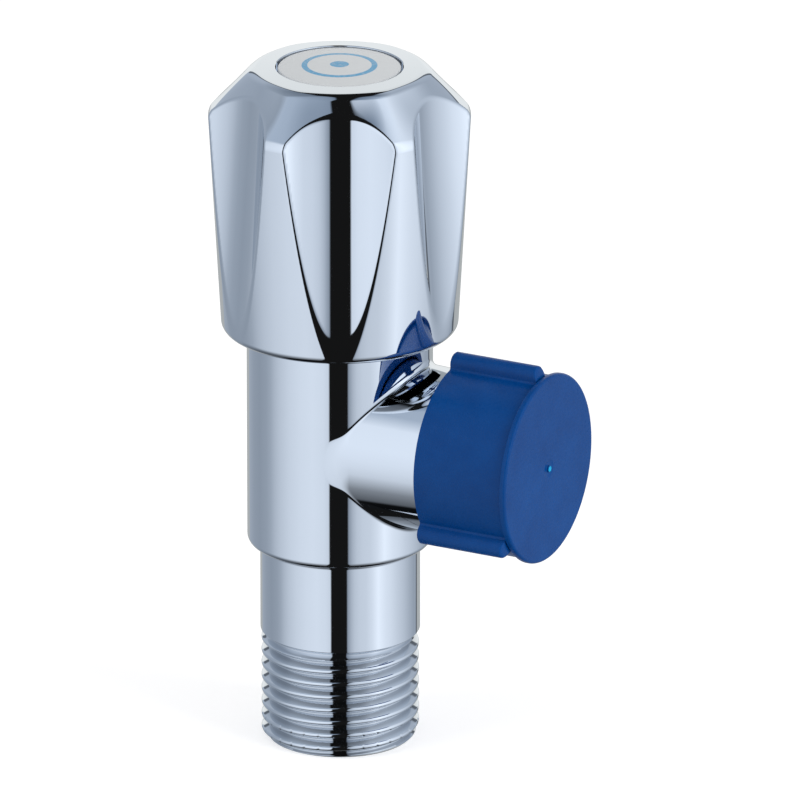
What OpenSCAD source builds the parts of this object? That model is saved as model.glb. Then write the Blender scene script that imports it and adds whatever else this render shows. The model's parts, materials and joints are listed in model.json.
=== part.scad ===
// Angle valve for a water tap: a quarter-turn valve with a ceramic disc cartridge.
// The origin is the centre of the inlet end face. +Z runs up the spindle, +X along the outlet.
// The handle is shown closed. Sizes are in millimetres.

/* [Threads] */
// Outside diameter of the inlet and outlet threads, G 1/2
thread_d = 20.955; // [20.4:0.005:21.1]
// Length of the inlet thread
inlet_thread_len = 15.2; // [12:0.1:20]
// Length of the outlet thread
outlet_thread_len = 11.4; // [9:0.1:14]
// Chamfer at the free end of each thread
thread_chamfer = 0.9; // [0.4:0.1:1.2]
// Width of the groove where each thread runs out
runout_w = 0.8; // [0.4:0.1:1.4]
// Depth of that groove
runout_depth = 0.7; // [0.5:0.1:1]

/* [Valve body] */
// Diameter of the smooth nipple above the inlet thread
nipple_d = 21.2; // [21.2:0.1:22.4]
// Length of the smooth nipple
nipple_len = 12.2; // [8:0.1:18]
// Diameter of the barrel
barrel_d = 24.6; // [24.2:0.1:25.2]
// Rounding of the barrel's lower edge
barrel_edge_r = 1; // [0.4:0.1:1.1]
// Fillet between the nipple and the barrel
nipple_fillet_r = 0.6; // [0.2:0.1:0.6]
// Height of the outlet axis above the barrel's lower end
outlet_rise = 15.1; // [13.5:0.1:19]
// Height of the barrel above the outlet axis
barrel_above = 16.2; // [16:0.1:20]
// Diameter of the outlet boss at its outer end
boss_d = 21.4; // [21.2:0.1:21.8]
// Diameter of the outlet boss at its root, on the spindle axis
boss_root_d = 22.8; // [21.8:0.1:23]
// Reach of the outlet boss from the spindle axis
boss_reach = 18.3; // [16:0.1:22]
// Diameter of the inlet bore
inlet_bore_d = 12.4; // [10:0.1:13]
// Diameter of the outlet bore
outlet_bore_d = 11; // [9:0.1:12]
// Depth of the valve seat below the outlet axis
seat_drop = 9.5; // [9:0.1:10.5]

/* [Cartridge] */
// Diameter of the bonnet thread
bonnet_thread_d = 20; // [19:0.1:20.4]
// Depth of the thread's lower end below the top of the barrel
bonnet_thread_depth = 9.9; // [8:0.1:10]
// Outside diameter of the cage that holds the discs
cage_d = 17.8; // [17:0.1:18.2]
// Wall of the cage
cage_wall = 0.8; // [0.6:0.1:1.2]
// Width of the two windows in the cage
window_w = 11; // [8:0.5:12]
// Width of the keys on the fixed disc
key_w = 2.6; // [1.6:0.1:3.4]
// Thickness of the bonnet's round flange
flange_h = 1.2; // [0.8:0.1:2]
// Diameter of the bonnet's round flange
flange_d = 22.8; // [22.4:0.1:23.4]
// Hexagon across its flats
hex_af = 19; // [17:0.5:19]
// Height of the hexagon
hex_h = 4.5; // [3:0.1:7]
// Diameter of the bonnet's stem
stem_d = 12.8; // [11.6:0.1:14]
// Length of the bonnet's stem above the hexagon
stem_len = 6; // [4:0.1:10]
// Height of the seat seal
seal_h = 2.4; // [1.8:0.1:3]
// How far the seat seal stands out under the cage
seal_stand = 1; // [0.6:0.1:1.2]
// Radial width of the seat seal
seal_w = 1.6; // [1.2:0.1:1.8]
// Wall of the plastic ring inside the seat seal
support_wall = 0.6; // [0.4:0.1:0.8]
// Thickness of each ceramic disc
disc_h = 3.2; // [2.4:0.1:3.6]
// Angle that each port in the fixed disc spans
port_angle = 80; // [50:1:84]
// Diameter of the solid middle of the discs, inside the ports
port_hub_d = 3.2; // [2:0.1:4]
// Angle that each land of the moving disc spans
land_angle = 96; // [92:1:100]

/* [Spindle] */
// Diameter of the spindle's shaft
spindle_d = 8.9; // [8.6:0.1:9.6]
// Height of the spindle's drive foot
foot_h = 2.6; // [1.6:0.1:3]
// Width of the drive bar under the foot
drive_w = 3; // [2:0.1:4]
// Depth of the drive bar in the moving disc
drive_h = 1.3; // [0.8:0.1:1.6]
// Thickness of the thrust washer
thrust_h = 0.6; // [0.4:0.1:1]
// Thickness of the O-rings on the spindle
o_ring_section = 1.3; // [1:0.1:1.5]
// Thickness of the O-ring under the bonnet's flange
bonnet_ring_section = 1.5; // [1.2:0.1:1.5]
// Depth of the upper O-ring below the top of the barrel
upper_ring_depth = 3; // [1.4:0.1:4]
// Distance between the two O-rings on the spindle
o_ring_pitch = 3.6; // [2.6:0.1:4.4]
// Number of teeth on the spindle's head
spline_teeth = 20; // [16:1:24]
// Diameter over the teeth
spline_d = 8; // [7.6:0.1:8.4]
// Height of a tooth
tooth_h = 0.45; // [0.3:0.05:0.5]
// How far the spindle's head stands above the bonnet
head_len = 11; // [10:0.1:16]
// Height of the stop ring and of the rim that it runs against
stop_h = 1.5; // [1:0.1:2]
// Radial width of the stop ring round the teeth
stop_ring_w = 1.1; // [0.8:0.1:1.4]
// Angle that the stop ring's lug spans
lug_angle = 56; // [30:1:80]
// Angle between the closed and the open handle
quarter_turn = 90; // [80:1:95]
// Thickness of the circlip
clip_h = 0.8; // [0.6:0.1:1]
// Radial width of the circlip outside the teeth
clip_w = 1.4; // [0.8:0.1:1.8]
// Depth of the circlip's groove below the teeth
clip_groove_depth = 0.3; // [0.2:0.05:0.5]

/* [Handwheel] */
// How far the skirt reaches down over the barrel
skirt_overlap = 1.5; // [1:0.1:4]
// Radius at the bottom of the skirt
skirt_r = 15.6; // [15.4:0.1:17]
// Rounding of the skirt's lower edge
skirt_edge_r = 1.4; // [0.5:0.1:1.6]
// Radial gap between the barrel and the skirt
skirt_gap = 0.8; // [0.5:0.1:1]
// Radius at the shoulder, where the wheel is widest
shoulder_r = 17.3; // [17:0.1:19]
// Depth of the shoulder below the top
shoulder_drop = 6.4; // [5:0.1:8]
// Rounding of the shoulder's edge
shoulder_edge_r = 1; // [0.3:0.1:1.5]
// Radius where the shoulder meets the crown
crown_r = 12.6; // [12.2:0.1:13]
// Depth of that line below the top
crown_drop = 1; // [0.5:0.1:1.6]
// Rounding between the shoulder and the crown
crown_edge_r = 0.6; // [0.5:0.1:2.2]
// Number of flutes
flutes = 6; // [5:1:8]
// Radius of each hollow flute
flute_r = 14; // [13:0.5:20]
// Distance from the axis to the bottom of a flute, at the shoulder
flute_top = 13.5; // [13.3:0.05:15]
// The same distance at the lower edge of the skirt
flute_foot = 15.45; // [15:0.05:15.6]
// Direction of the first flute, from the outlet
flute_turn = -2.4; // [-30:0.1:30]
// Wall of the hollow under the shoulder
wheel_wall = 1.6; // [1.4:0.1:2.4]
// Thickness of the ceiling above the hollow
ceiling_h = 3.4; // [2.5:0.1:5]
// Diameter of the hub
hub_d = 15.6; // [15:0.1:17]
// Thickness of the web that the screw clamps
web_h = 3.5; // [2.5:0.1:5]
// Length of the splined insert
insert_len = 7.4; // [5:0.1:7.5]
// Insert across its flats
insert_af = 10.8; // [10.2:0.1:11.2]

/* [Screw and button] */
// Diameter of the screw
screw_d = 4; // [3.5:0.1:4.4]
// How far the screw reaches into the spindle
screw_reach = 7; // [5:0.1:9]
// Diameter of the screw's head
screw_head_d = 7; // [6.4:0.1:7.4]
// Height of the screw's head
screw_head_h = 2.4; // [1.8:0.1:3]
// Thickness of the lock washer
washer_h = 0.7; // [0.4:0.1:1]
// Diameter of the screw's counterbore, which the button plugs
counterbore_d = 8.8; // [8.2:0.1:9.4]
// Depth of the counterbore that the button's plug fills
plug_len = 2.9; // [2:0.1:4]
// Diameter of the button's recess
recess_d = 16.8; // [15:0.1:18.5]
// Depth of the button's recess
recess_depth = 2.5; // [1.8:0.1:3]
// Width of the gap round the button
button_gap = 0.25; // [0.1:0.05:0.5]
// How far the button's rim lies below the wheel's top
button_sink = 0.15; // [0:0.05:0.8]
// Height of the button's dome
button_dome = 0.45; // [0.1:0.05:0.8]

/* [Outlet cap] */
// How far the cap's mouth reaches over the boss
cap_overlap = 1; // [0.5:0.1:2]
// Gap between the boss and the cap
cap_gap = 0.25; // [0.2:0.05:0.4]
// Wall of the cap's side
cap_wall = 1.25; // [0.9:0.05:2]
// Thickness of the cap's end
cap_end_h = 1.3; // [1:0.1:2]
// How far the lip of the cap's end stands out from its side
cap_lip_w = 0.5; // [0.3:0.05:1]
// Length of that lip
cap_lip_h = 0.9; // [0.6:0.1:1]
// Angle of each grip rib round the cap, from straight up
cap_rib_angles = [-2, 129, 242]; // [-10:1:350]
// Height of the ribs above the cap's side
cap_rib_h = 2; // [1.6:0.1:2.8]
// Width of a rib
cap_rib_w = 2.6; // [1.8:0.1:3.4]
// Distance from the ribs' ends to the lip
cap_rib_back = 0.3; // [0.1:0.1:0.8]
// Diameter of the moulding mark in the middle of the end
cap_gate_d = 0.9; // [0.6:0.1:1.2]
// Height of that mark
cap_gate_h = 0.2; // [0.1:0.05:0.4]

/* [Hidden] */
$fn = 96;
chrome = [0.80, 0.84, 0.90];
brass = [0.80, 0.66, 0.36];
ceramic = [0.93, 0.91, 0.88];
rubber = [0.12, 0.12, 0.13];
steel = [0.62, 0.64, 0.67];
white_plastic = [0.90, 0.92, 0.93];
blue_plastic = [0.05, 0.20, 0.52];
run_fit = 0.05;     // radial clearance of a running fit
snug_fit = 0.05;    // radial clearance of a piece that is pressed or screwed in
loose_fit = 0.3;    // clearance of a piece that turns clear of its neighbour
disc_fit = 0.5;     // radial clearance of the moving disc in the cage
foot_fit = 0.9;     // radial clearance of the spindle's foot in the cage
head_fit = 0.4;     // clearance above the screw's head
lead_in = 0.2;      // how far a thread starts above the edge of its bore
over = 1;           // how far a cut runs past the face that it opens

thread_r = thread_d / 2;
nipple_r = nipple_d / 2;
barrel_r = barrel_d / 2;
boss_r = boss_d / 2;
barrel_z = inlet_thread_len + nipple_len;
outlet_z = barrel_z + outlet_rise;
barrel_top = outlet_z + barrel_above;
outlet_end = boss_reach + outlet_thread_len;
seat_z = outlet_z - seat_drop;

cage_z = seat_z + seal_stand;
cage_r = cage_d / 2;
cage_bore_r = cage_r - cage_wall;
chamber_r = cage_r + loose_fit;
bonnet_thread_r = bonnet_thread_d / 2;
thread_z = barrel_top - bonnet_thread_depth;
ring_land_r = bonnet_thread_r - bonnet_ring_section / 2;
ring_seat_r = ring_land_r + bonnet_ring_section + 2 * snug_fit;
ring_seat_z = barrel_top - bonnet_ring_section - 2 * snug_fit;
fixed_z = seat_z + seal_h;
moving_z = fixed_z + disc_h;
foot_z = moving_z + disc_h;
thrust_z = foot_z + foot_h;
cage_ceiling = thrust_z + thrust_h + run_fit;
hex_z = barrel_top + flange_h;
stem_z = hex_z + hex_h;
stem_top = stem_z + stem_len;
stem_r = stem_d / 2;

fixed_r = cage_bore_r - snug_fit;
seal_r = cage_bore_r - snug_fit;
seal_bore_r = seal_r - seal_w;
support_r = seal_bore_r - snug_fit;
support_bore_r = support_r - support_wall;
port_r = support_bore_r;
port_hub_r = port_hub_d / 2;
moving_r = cage_bore_r - disc_fit;

spindle_r = spindle_d / 2;
spindle_bore_r = spindle_r + run_fit;
foot_r = cage_bore_r - foot_fit;
spline_r = spline_d / 2;
spindle_top = stem_top + head_len;
upper_ring_z = barrel_top - upper_ring_depth;
lower_ring_z = upper_ring_z - o_ring_pitch;
stop_z = stem_top + run_fit;
stop_rim_r = spline_r + stop_ring_w;
clip_z = stop_z + stop_h + run_fit;
clip_groove_r = spline_r - tooth_h - clip_groove_depth;
clip_r = spline_r + clip_w;

wheel_z = barrel_top - skirt_overlap;
web_top = spindle_top + web_h;
screw_head_z = web_top + washer_h;
plug_z = screw_head_z + screw_head_h + head_fit;
recess_z = plug_z + plug_len;
wheel_top = recess_z + recess_depth;
shoulder_z = wheel_top - shoulder_drop;
hollow_top = recess_z - ceiling_h;
hollow_r = barrel_r + skirt_gap;
hub_r = hub_d / 2;
insert_z = spindle_top - insert_len;
recess_r = recess_d / 2;

cap_bore_r = max(boss_r, thread_r) + cap_gap;
cap_r = cap_bore_r + cap_wall;
cap_end_r = cap_r + cap_lip_w;
cap_rib_r = cap_r + cap_rib_h;
cap_mouth = boss_reach - cap_overlap;
cap_face = outlet_end + cap_end_h;

// Points of an arc from angle a0 to angle a1
function arc(centre, r, a0, a1, steps = 6) =
    [for (i = [0:steps]) let (a = a0 + (a1 - a0) * i / steps) centre + r * [cos(a), sin(a)]];

// Points that round the corner at b, between a and c, with radius r
function rounded(a, b, c, r, steps = 6) =
    let (
        to_a = (a - b) / norm(a - b),
        to_c = (c - b) / norm(c - b),
        half = acos(to_a * to_c) / 2,
        mid = (to_a + to_c) / norm(to_a + to_c),
        centre = b + mid * r / sin(half),
        first = b + to_a * r / tan(half) - centre,
        last = b + to_c * r / tan(half) - centre,
        a0 = atan2(first[1], first[0]),
        turn = atan2(first[0] * last[1] - first[1] * last[0], first * last)
    )
    arc(centre, r, a0, a0 + turn, steps);

// Outline of the splined head, larger by grow all round
function spline_outline(grow = 0) =
    let (pitch = 360 / spline_teeth)
    [for (i = [0:spline_teeth - 1], p = [[-0.34, 1], [-0.14, 0], [0.14, 0], [0.34, 1]])
        let (a = pitch * (i + p[0]), r = spline_r + grow - tooth_h * p[1]) r * [cos(a), sin(a)]];

// A wedge of the full circle, from angle a0 to angle a1, for cutting sectors
module wedge(r, a0, a1, z0, h) {
    steps = ceil((a1 - a0) / 40);
    translate([0, 0, z0])
        linear_extrude(height = h)
            polygon(concat([[0, 0]], arc([0, 0], 2 * r, a0, a1, steps)));
}

module tube(r, bore_r, z0, h) {
    translate([0, 0, z0])
        difference() {
            cylinder(r = r, h = h);
            translate([0, 0, -over]) cylinder(r = bore_r, h = h + 2 * over);
        }
}

module o_ring(inner_r, section, z) {
    translate([0, 0, z])
        rotate_extrude()
            translate([inner_r + section / 2, 0]) circle(d = section, $fn = 32);
}

// Everything built along +Z from here is laid along +X, at the height of the outlet
module along_outlet() {
    translate([0, 0, outlet_z]) rotate([0, 90, 0]) children();
}

module barrel_and_nipple() {
    runout_z = inlet_thread_len - runout_w;
    runout_r = thread_r - runout_depth;
    rotate_extrude()
        polygon(concat(
            [[0, 0], [thread_r - thread_chamfer, 0], [thread_r, thread_chamfer],
             [thread_r, runout_z], [runout_r, runout_z],
             [runout_r, inlet_thread_len], [nipple_r, inlet_thread_len]],
            rounded([nipple_r, inlet_thread_len], [nipple_r, barrel_z], [barrel_r, barrel_z],
                    nipple_fillet_r, 4),
            rounded([nipple_r, barrel_z], [barrel_r, barrel_z], [barrel_r, barrel_top],
                    barrel_edge_r, 5),
            [[barrel_r, barrel_top], [0, barrel_top]]
        ));
}

module outlet_branch() {
    runout_end = boss_reach + runout_w;
    along_outlet() {
        cylinder(r1 = boss_root_d / 2, r2 = boss_r, h = boss_reach);
        cylinder(r = thread_r - runout_depth, h = runout_end);
        translate([0, 0, runout_end])
            cylinder(r = thread_r, h = outlet_end - thread_chamfer - runout_end);
        translate([0, 0, outlet_end - thread_chamfer])
            cylinder(r1 = thread_r, r2 = thread_r - thread_chamfer, h = thread_chamfer);
    }
}

module valve_body() {
    color(chrome)
        difference() {
            union() {
                barrel_and_nipple();
                outlet_branch();
            }
            translate([0, 0, -over]) cylinder(d = inlet_bore_d, h = seat_z + 2 * over);
            translate([0, 0, seat_z]) cylinder(r = chamber_r, h = thread_z - seat_z + over / 2);
            translate([0, 0, thread_z])
                cylinder(r = bonnet_thread_r + snug_fit, h = barrel_top - thread_z);
            translate([0, 0, ring_seat_z]) cylinder(r = ring_seat_r, h = barrel_top);
            along_outlet() cylinder(d = outlet_bore_d, h = outlet_end + over);
        }
}

// The hexagon, with the corners of its upper face turned down
module bonnet_hexagon() {
    corner_r = hex_af / 2 / cos(30);
    turned = corner_r - hex_af / 2;
    intersection() {
        translate([0, 0, hex_z]) cylinder(r = corner_r, h = hex_h, $fn = 6);
        translate([0, 0, hex_z - over]) {
            cylinder(r = corner_r + over, h = hex_h + over - turned / 2);
            translate([0, 0, hex_h + over - turned / 2])
                cylinder(r1 = corner_r, r2 = hex_af / 2, h = turned / 2);
        }
    }
}

module bonnet_outside() {
    taper = bonnet_thread_r - cage_r;
    land_z = ring_seat_z - snug_fit;
    rotate_extrude()
        polygon([
            [0, cage_z], [cage_r, cage_z], [cage_r, thread_z + lead_in],
            [bonnet_thread_r, thread_z + lead_in + taper], [bonnet_thread_r, land_z],
            [ring_land_r, land_z], [ring_land_r, barrel_top], [flange_d / 2, barrel_top],
            [flange_d / 2, hex_z], [stem_r, hex_z], [stem_r, stem_top], [0, stem_top]
        ]);
    bonnet_hexagon();
}

// The rim that stops the lug: it covers the part of the turn that the lug never reaches
module stop_rim() {
    play = 0.5;
    rim_start = quarter_turn + lug_angle / 2 + play;
    rim_end = 360 - lug_angle / 2 - play;
    intersection() {
        tube(stem_r, stop_rim_r + loose_fit, stem_top - over / 2, stop_h + over / 2);
        wedge(stem_r, rim_start, rim_end, stem_top - over, stop_h + 2 * over);
    }
}

module bonnet() {
    sill_drop = 0.4;
    lintel_drop = 0.5;
    window_z = moving_z - sill_drop;
    window_h = cage_ceiling - lintel_drop - window_z;
    color(brass)
        difference() {
            union() {
                bonnet_outside();
                stop_rim();
            }
            translate([0, 0, cage_z - over])
                cylinder(r = cage_bore_r, h = cage_ceiling - cage_z + over);
            translate([0, 0, cage_z]) cylinder(r = spindle_bore_r, h = stem_top);
            translate([-cage_d, -window_w / 2, window_z]) cube([2 * cage_d, window_w, window_h]);
            translate([-key_w / 2 - snug_fit, -cage_d, cage_z - over])
                cube([key_w + 2 * snug_fit, 2 * cage_d, moving_z - cage_z + over]);
        }
}

module bonnet_o_ring() {
    color(rubber)
        o_ring(ring_land_r + snug_fit, bonnet_ring_section,
               ring_seat_z + bonnet_ring_section / 2 + snug_fit);
}

module ring_groove(z) {
    side_play = 0.2;
    half = o_ring_section / 2 + side_play;
    tube(spindle_r + over, spindle_r - o_ring_section - snug_fit, z - half, 2 * half);
}

module spindle() {
    color(brass)
        difference() {
            union() {
                translate([0, 0, foot_z]) cylinder(r = foot_r, h = foot_h);
                intersection() {
                    translate([-foot_r, -drive_w / 2, foot_z - drive_h + run_fit])
                        cube([2 * foot_r, drive_w, drive_h]);
                    translate([0, 0, moving_z]) cylinder(r = foot_r, h = 2 * disc_h);
                }
                translate([0, 0, foot_z]) cylinder(r = spindle_r, h = stem_top - foot_z);
                translate([0, 0, foot_z])
                    linear_extrude(height = spindle_top - foot_z) polygon(spline_outline());
            }
            ring_groove(lower_ring_z);
            ring_groove(upper_ring_z);
            tube(spline_r + over, clip_groove_r, clip_z, clip_h + 2 * run_fit);
            translate([0, 0, spindle_top - screw_reach - 1])
                cylinder(d = screw_d + 2 * snug_fit, h = screw_reach + 1 + over);
        }
}

module spindle_o_ring_lower() {
    color(rubber) o_ring(spindle_r - o_ring_section, o_ring_section, lower_ring_z);
}

module spindle_o_ring_upper() {
    color(rubber) o_ring(spindle_r - o_ring_section, o_ring_section, upper_ring_z);
}

module thrust_washer() {
    color(white_plastic) tube(foot_r, spindle_r + run_fit, thrust_z, thrust_h);
}

// Two lands close the ports, and water passes sideways through the gaps between them
module moving_disc() {
    color(ceramic)
        difference() {
            translate([0, 0, moving_z]) cylinder(r = moving_r, h = disc_h);
            for (side = [0, 180])
                difference() {
                    wedge(moving_r, side + land_angle / 2, side + 180 - land_angle / 2,
                          moving_z - over, disc_h + 2 * over);
                    translate([0, 0, moving_z - over])
                        cylinder(r = port_hub_r, h = disc_h + 2 * over);
                }
            translate([-2 * moving_r, -drive_w / 2 - run_fit, foot_z - drive_h])
                cube([4 * moving_r, drive_w + 2 * run_fit, drive_h + over]);
        }
}

module fixed_disc() {
    color(ceramic)
        difference() {
            union() {
                translate([0, 0, fixed_z]) cylinder(r = fixed_r, h = disc_h);
                intersection() {
                    translate([-key_w / 2, -cage_r, fixed_z]) cube([key_w, cage_d, disc_h]);
                    translate([0, 0, fixed_z]) cylinder(r = cage_r, h = disc_h);
                }
            }
            for (side = [0, 180])
                intersection() {
                    tube(port_r, port_hub_r, fixed_z - over, disc_h + 2 * over);
                    wedge(port_r, side - port_angle / 2, side + port_angle / 2,
                          fixed_z - over, disc_h + 2 * over);
                }
        }
}

module seat_seal() {
    color(rubber) tube(seal_r, seal_bore_r, seat_z, seal_h);
}

module seal_support_ring() {
    color(white_plastic) tube(support_r, support_bore_r, seat_z, seal_h);
}

module stop_ring() {
    color(brass)
        difference() {
            union() {
                translate([0, 0, stop_z]) cylinder(r = stop_rim_r, h = stop_h - run_fit);
                intersection() {
                    translate([0, 0, stop_z]) cylinder(r = stem_r, h = stop_h - run_fit);
                    wedge(stem_r, -lug_angle / 2, lug_angle / 2, stop_z - over, stop_h + over);
                }
            }
            translate([0, 0, stop_z - over])
                linear_extrude(height = stop_h + 2 * over) polygon(spline_outline(snug_fit));
        }
}

module circlip() {
    grip = 0.6;
    opening = 2 * clip_groove_r - grip;
    color(steel)
        difference() {
            tube(clip_r, clip_groove_r + snug_fit, clip_z + run_fit, clip_h);
            translate([0, -opening / 2, clip_z - over]) cube([2 * clip_r, opening, clip_h + 3 * over]);
        }
}

module wheel_outside() {
    foot = [skirt_r, wheel_z];
    shoulder = [shoulder_r, shoulder_z];
    crown = [crown_r, wheel_top - crown_drop];
    top = [recess_r, wheel_top];
    rotate_extrude()
        polygon(concat(
            [[0, wheel_z]],
            rounded([0, wheel_z], foot, shoulder, skirt_edge_r),
            rounded(foot, shoulder, crown, shoulder_edge_r),
            rounded(shoulder, crown, top, crown_edge_r),
            [top, [0, wheel_top]]
        ));
}

// One flute is a long cylinder that leans in towards the top
module flute() {
    rise = shoulder_z - wheel_z;
    lean = atan((flute_foot - flute_top) / rise);
    translate([flute_foot + flute_r / cos(lean), 0, wheel_z])
        rotate([0, -lean, 0])
            translate([0, 0, -rise]) cylinder(r = flute_r, h = 3 * rise);
}

module wheel_hollow() {
    top_r = flute_top - wheel_wall;
    difference() {
        union() {
            translate([0, 0, wheel_z]) cylinder(r1 = hollow_r, r2 = top_r, h = hollow_top - wheel_z);
            translate([0, 0, wheel_z - over]) cylinder(r = hollow_r, h = over);
        }
        translate([0, 0, insert_z]) cylinder(r = hub_r, h = hollow_top);
    }
}

module handwheel() {
    socket_r = (insert_af / 2 + snug_fit) / cos(30);
    color(chrome)
        difference() {
            wheel_outside();
            for (i = [0:flutes - 1]) rotate([0, 0, flute_turn + i * 360 / flutes]) flute();
            wheel_hollow();
            translate([0, 0, insert_z - over])
                cylinder(r = socket_r, h = insert_len + over, $fn = 6);
            translate([0, 0, spindle_top - over])
                cylinder(d = screw_d + 4 * snug_fit, h = wheel_top - spindle_top);
            translate([0, 0, web_top]) cylinder(d = counterbore_d, h = wheel_top);
            translate([0, 0, recess_z]) cylinder(r = recess_r, h = recess_depth + over);
        }
}

module spline_insert() {
    color(white_plastic)
        difference() {
            translate([0, 0, insert_z])
                cylinder(r = insert_af / 2 / cos(30), h = insert_len, $fn = 6);
            translate([0, 0, insert_z - over])
                linear_extrude(height = insert_len + 2 * over) polygon(spline_outline(snug_fit));
        }
}

module lock_washer() {
    split_w = 0.5;
    color(steel)
        difference() {
            tube(screw_head_d / 2, screw_d / 2 + 2 * snug_fit, web_top, washer_h);
            translate([0, -split_w / 2, web_top - over])
                cube([screw_head_d, split_w, washer_h + 2 * over]);
        }
}

module handwheel_screw() {
    head_r = screw_head_d / 2;
    slot_w = 0.9;
    slot_h = screw_head_h / 2;
    color(steel)
        difference() {
            union() {
                translate([0, 0, spindle_top - screw_reach])
                    cylinder(d = screw_d, h = screw_head_z - spindle_top + screw_reach + over / 2);
                rotate_extrude()
                    polygon(concat(
                        [[0, screw_head_z], [head_r, screw_head_z]],
                        rounded([head_r, screw_head_z], [head_r, screw_head_z + screw_head_h],
                                [0, screw_head_z + screw_head_h], screw_head_h / 2, 4),
                        [[0, screw_head_z + screw_head_h]]
                    ));
            }
            for (turn = [0, 90])
                rotate([0, 0, turn])
                    translate([-head_r / 2, -slot_w / 2, screw_head_z + screw_head_h - slot_h])
                        cube([head_r, slot_w, slot_h + over]);
        }
}

module index_button() {
    plug_wall = 1;
    button_r = recess_r - button_gap;
    rim_z = wheel_top - button_sink;
    dome_r = (button_r * button_r + button_dome * button_dome) / (2 * button_dome);
    color(white_plastic)
        union() {
            intersection() {
                translate([0, 0, recess_z]) cylinder(r = button_r, h = recess_depth + button_dome);
                translate([0, 0, rim_z + button_dome - dome_r]) sphere(r = dome_r, $fn = 200);
            }
            translate([0, 0, plug_z])
                difference() {
                    cylinder(r = counterbore_d / 2 - snug_fit, h = plug_len + over / 2);
                    translate([0, 0, -over])
                        cylinder(r = counterbore_d / 2 - plug_wall, h = plug_len + over);
                }
        }
}

// Round ribs for the grip, laid along the cap's side
module cap_rib() {
    length = cap_face - cap_lip_h - cap_rib_back - cap_mouth;
    round_r = cap_rib_w / 2;
    root_r = (cap_bore_r + cap_r) / 2;
    translate([0, 0, cap_mouth])
        linear_extrude(height = length)
            union() {
                translate([-cap_rib_r + round_r, 0]) circle(r = round_r);
                translate([-cap_rib_r + round_r, -round_r])
                    square([cap_rib_r - round_r - root_r, cap_rib_w]);
            }
}

module outlet_cap() {
    edge_r = cap_lip_h / 2;
    under_r = edge_r / 2;
    lip_z = cap_face - cap_lip_h;
    color(blue_plastic)
        along_outlet() {
            difference() {
                union() {
                    rotate_extrude()
                        polygon(concat(
                            [[0, cap_mouth], [cap_r, cap_mouth], [cap_r, lip_z]],
                            rounded([cap_r, lip_z], [cap_end_r, lip_z], [cap_end_r, cap_face],
                                    under_r, 3),
                            rounded([cap_end_r, lip_z], [cap_end_r, cap_face], [0, cap_face], edge_r),
                            [[0, cap_face]]
                        ));
                    for (turn = cap_rib_angles) rotate([0, 0, turn]) cap_rib();
                }
                translate([0, 0, cap_mouth - over])
                    cylinder(r = cap_bore_r, h = outlet_end - cap_mouth + over);
            }
            translate([0, 0, cap_face - cap_gate_h]) cylinder(d = cap_gate_d, h = 2 * cap_gate_h);
        }
}

valve_body();
bonnet();
bonnet_o_ring();
spindle();
spindle_o_ring_lower();
spindle_o_ring_upper();
thrust_washer();
moving_disc();
fixed_disc();
seat_seal();
seal_support_ring();
stop_ring();
circlip();
handwheel();
spline_insert();
lock_washer();
handwheel_screw();
index_button();
outlet_cap();
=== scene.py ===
# An angle valve with a fluted handwheel, and a blue cap on its outlet.
# Sizes are in millimetres, in the part's own frame, and become metres when a mesh is made.
import json
import math

import bpy
import numpy as np
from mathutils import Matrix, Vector


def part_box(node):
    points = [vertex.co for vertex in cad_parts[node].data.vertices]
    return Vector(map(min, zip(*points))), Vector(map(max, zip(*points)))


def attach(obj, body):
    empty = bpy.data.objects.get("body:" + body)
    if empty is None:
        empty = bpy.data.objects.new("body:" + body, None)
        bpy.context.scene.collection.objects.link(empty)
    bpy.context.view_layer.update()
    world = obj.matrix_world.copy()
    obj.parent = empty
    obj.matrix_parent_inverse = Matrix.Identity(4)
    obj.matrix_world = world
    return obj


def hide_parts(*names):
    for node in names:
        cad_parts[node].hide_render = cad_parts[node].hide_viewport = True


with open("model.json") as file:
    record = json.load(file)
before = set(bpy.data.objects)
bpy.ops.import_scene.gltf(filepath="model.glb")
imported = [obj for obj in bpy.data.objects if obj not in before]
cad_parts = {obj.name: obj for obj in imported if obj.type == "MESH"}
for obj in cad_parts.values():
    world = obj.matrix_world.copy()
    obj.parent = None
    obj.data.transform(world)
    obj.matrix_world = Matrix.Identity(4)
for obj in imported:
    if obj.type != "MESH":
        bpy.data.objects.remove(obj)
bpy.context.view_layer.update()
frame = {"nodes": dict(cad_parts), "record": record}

# The solids' own bounds, taken before any mesh is added
MM = 0.001


def box(node):
    """Lowest and highest corner of a node of the frame, in millimetres."""
    low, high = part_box(node)
    return np.array(low) / MM, np.array(high) / MM


MOUNTS = {mount["name"]: mount for mount in frame["record"]["mounts"]}
BODY_HIGH = box("valve_body")[1]
WHEEL_LOW, WHEEL_HIGH = box("handwheel")
CAP_LOW, CAP_HIGH = box("outlet_cap")
BUTTON_LOW = box("index_button")[0]
RING_LOW, RING_HIGH = box("bonnet_o_ring")

# Threads, in the usual form of a pipe thread with 14 turns to the inch
THREAD_R = MOUNTS["inlet_thread"]["dims"]["r_mm"]
PITCH = 25.4 / 14
FLANK = math.radians(27.5)
THREAD_CREST_ROUND = 0.2 * PITCH
THREAD_ROOT_ROUND = 0.0746 * PITCH
# Where the crest's rounding ends and the root's begins, along the axis from the middle of a crest
CREST_END = THREAD_CREST_ROUND * math.cos(FLANK)
ROOT_START = PITCH / 2 - THREAD_ROOT_ROUND * math.cos(FLANK)
THREAD_CHAMFER = 0.9
RUNOUT_W = 1.5
RUNOUT_DEPTH = 1.0
NICKS = 32
NICK_DEPTH = 0.28
NICK_HALF_W = 0.26
NICK_TOP = 3.4

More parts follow.
